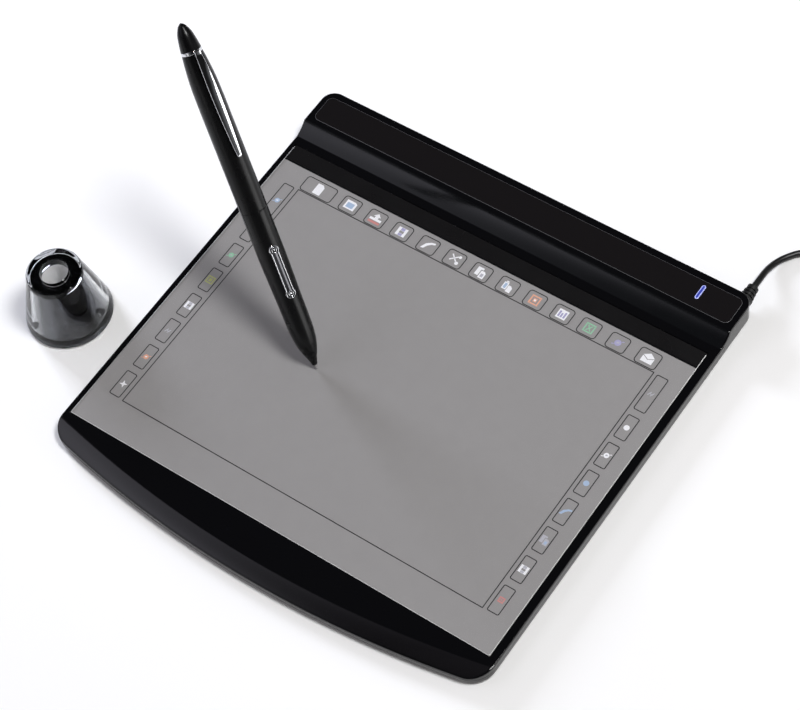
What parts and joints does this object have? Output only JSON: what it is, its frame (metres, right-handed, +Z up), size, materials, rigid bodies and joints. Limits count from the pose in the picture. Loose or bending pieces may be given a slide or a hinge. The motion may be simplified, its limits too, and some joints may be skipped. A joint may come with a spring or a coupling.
{
  "type": "graphics tablet",
  "caption": "Graphics tablet with a clear film over a printed sheet, a battery pen with rocker switch and clip, a cone-shaped pen stand and a captive USB cord.",
  "frame": {"origin": "on the desk, at the underside of the centre foot, under the middle of the tablet", "axes": "+X to the tablet's right, +Y to its rear, where the cord leaves, +Z up"},
  "size_m": [0.3693, 0.2909, 0.1415],
  "materials": {
    "case_gloss": "polished black",
    "panel_gloss": "polished dark grey",
    "lamp_lens": "frosted clear",
    "lamp_chip": "pale blue white",
    "board_green": "solder mask",
    "shield_steel": "plain",
    "chip_black": "matt",
    "board_metal": "plain",
    "connector_white": "matt",
    "header_black": "matt",
    "printed_sheet": "printed grey",
    "tape_clear": "clear",
    "film_clear": "clear",
    "relief_rubber": "moulded black",
    "cord_jacket": "smooth black",
    "tie_plastic": "matt black",
    "screw_steel": "blackened",
    "foot_rubber": "matt",
    "plug_steel": "nickel",
    "plug_insert": "white",
    "pen_gloss": "polished black",
    "nib_plastic": "satin",
    "ferrite": "matt",
    "copper_wire": "enamelled copper",
    "sensor_metal": "plain",
    "pen_chrome": "mirror bright",
    "battery_wrap": "plain grey wrapper",
    "stand_clear": "clear",
    "stand_dark": "dark mirror",
    "stand_steel": "plain"
  },
  "bodies": {
    "tablet": {"bottom_cover": "case_gloss", "top_cover": "case_gloss", "bar_panel": "panel_gloss", "light_pipe": "lamp_lens", "sensor_board": "board_green", "shield_plate": "shield_steel", "main_board": "board_green", "controller_chip": "chip_black", "board_parts": "board_metal", "status_led": "lamp_chip", "board_connector": "connector_white", "pin_header": "header_black", "insert_sheet": "printed_sheet", "hinge_tape": "tape_clear", "strain_relief": "relief_rubber", "cable_tail": "cord_jacket", "board_screws": "screw_steel", "cover_screws": "screw_steel", "corner_feet": "foot_rubber", "centre_foot": "foot_rubber", "usb_lead": "cord_jacket", "usb_coil": "cord_jacket", "coil_tie": "tie_plastic", "plug_grip": "relief_rubber", "plug_shell": "plug_steel", "plug_tongue": "plug_insert"},
    "film": {"film_cover": "film_clear"},
    "pen_front": {"nose_cone": "pen_gloss", "front_barrel": "pen_gloss", "antenna_core": "ferrite", "antenna_winding": "copper_wire", "pressure_sensor": "sensor_metal", "pen_board": "board_green", "front_contact": "shield_steel", "switch_bezel": "pen_chrome", "tact_switches": "chip_black"},
    "nib_unit": {"nib": "nib_plastic", "nib_holder": "nib_plastic"},
    "rocker": {"switch_rocker": "pen_gloss"},
    "pen_rear": {"rear_barrel": "pen_gloss", "cap_ring": "pen_chrome", "end_cap": "pen_gloss", "battery_cell": "battery_wrap", "battery_spring": "shield_steel"},
    "clip_body": {"clip": "pen_chrome"},
    "stand": {"stand_shell": "stand_clear", "stand_core": "stand_dark", "stand_pins": "stand_steel", "stand_base": "stand_steel", "stand_weight": "stand_steel", "stand_pad": "foot_rubber"}
  },
  "joints": [
    {"name": "film_hinge", "type": "hinge", "parent": "tablet", "child": "film", "pos_m": [0, 0.0818, 0.00703], "axis": [-1, 0, 0], "range_deg": [0, 80]},
    {"name": "pen_lift", "type": "slide", "parent": "film", "child": "pen_front", "axis": [-0.5146, 0.3121, 0.7986], "range_m": [0, 0.1]},
    {"name": "nib_press", "type": "slide", "parent": "pen_front", "child": "nib_unit", "axis": [-0.5146, 0.3121, 0.7986], "range_m": [0, 0.0006], "stiffness_N_per_m": 1000, "springref_m": -0.0003},
    {"name": "rocker_tilt", "type": "hinge", "parent": "pen_front", "child": "rocker", "pos_m": [-0.05353, -0.00029, 0.05059], "axis": [0.4054, 0.9093, -0.0941], "range_deg": [-2.5, 2.5], "stiffness_Nm_per_rad": 0.05},
    {"name": "battery_cap_pull", "type": "slide", "parent": "pen_front", "child": "pen_rear", "axis": [-0.5146, 0.3121, 0.7986], "range_m": [0, 0.06]},
    {"name": "clip_flex", "type": "hinge", "parent": "pen_rear", "child": "clip_body", "pos_m": [-0.10676, 0.03272, 0.13386], "axis": [-0.3242, -0.9331, 0.1558], "range_deg": [0, 4], "stiffness_Nm_per_rad": 0.5, "springref_deg": -1.15},
    {"name": "stand_lift", "type": "slide", "parent": "tablet", "child": "stand", "axis": [0, 0, 1], "range_m": [0, 0.05]}
  ]
}
